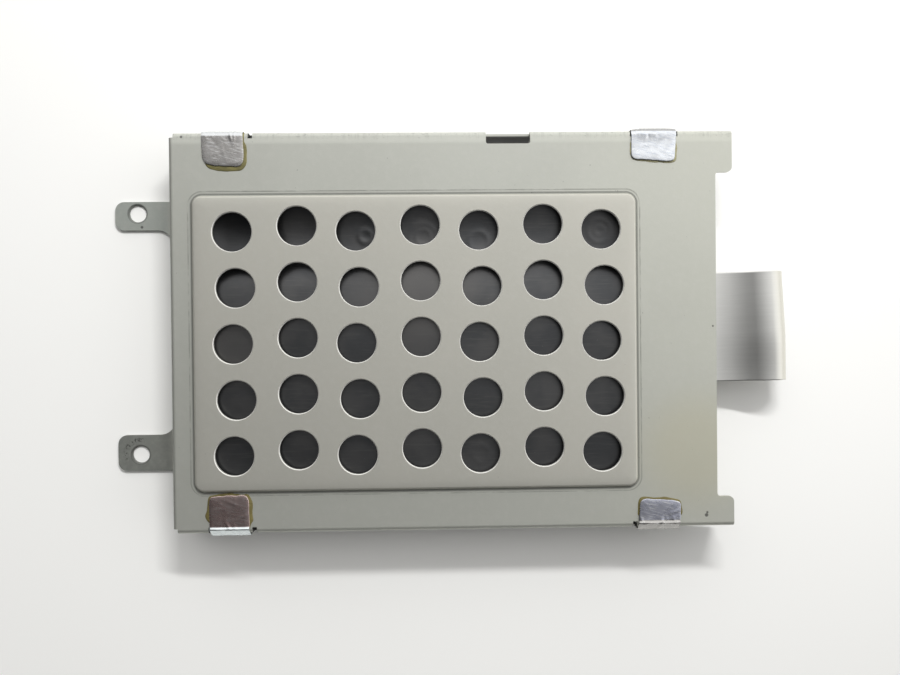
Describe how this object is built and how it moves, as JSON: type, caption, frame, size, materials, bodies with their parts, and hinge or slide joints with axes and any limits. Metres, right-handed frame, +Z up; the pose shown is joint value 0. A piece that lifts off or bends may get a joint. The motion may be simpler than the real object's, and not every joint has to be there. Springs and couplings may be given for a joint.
{
  "type": "laptop drive caddy",
  "caption": "Folded sheet-metal tray with a raised perforated lid, screw ears, foil wraps over its long bends, a film liner and a film pull tab, for carrying a slim drive in a laptop bay.",
  "frame": {"origin": "midway between the two ear holes, on the plane that the tray stands on", "axes": "+X along the tray from the ears to the pull tab, +Y to the back wall with the latch window, +Z up out of the perforated lid"},
  "size_m": [0.1285, 0.073, 0.0112],
  "materials": {
    "tray": "satin plated steel sheet with light scuffs",
    "foil": "creased bright foil",
    "glue": "aged olive-yellow adhesive",
    "liner": "thin dark grey film with a soft sheen",
    "film": "silvered film, finely streaked",
    "tape": "thin double-sided tape"
  },
  "bodies": {
    "root": {"tray": "tray", "foil_back_left": "foil", "foil_back_right": "foil", "foil_front_left": "foil", "foil_front_right": "foil", "glue_back_left": "glue", "glue_back_right": "glue", "glue_front_left": "glue", "glue_front_right": "glue", "liner": "liner", "pull_tab": "film", "pull_tab_tape": "tape"}
  },
  "joints": []
}
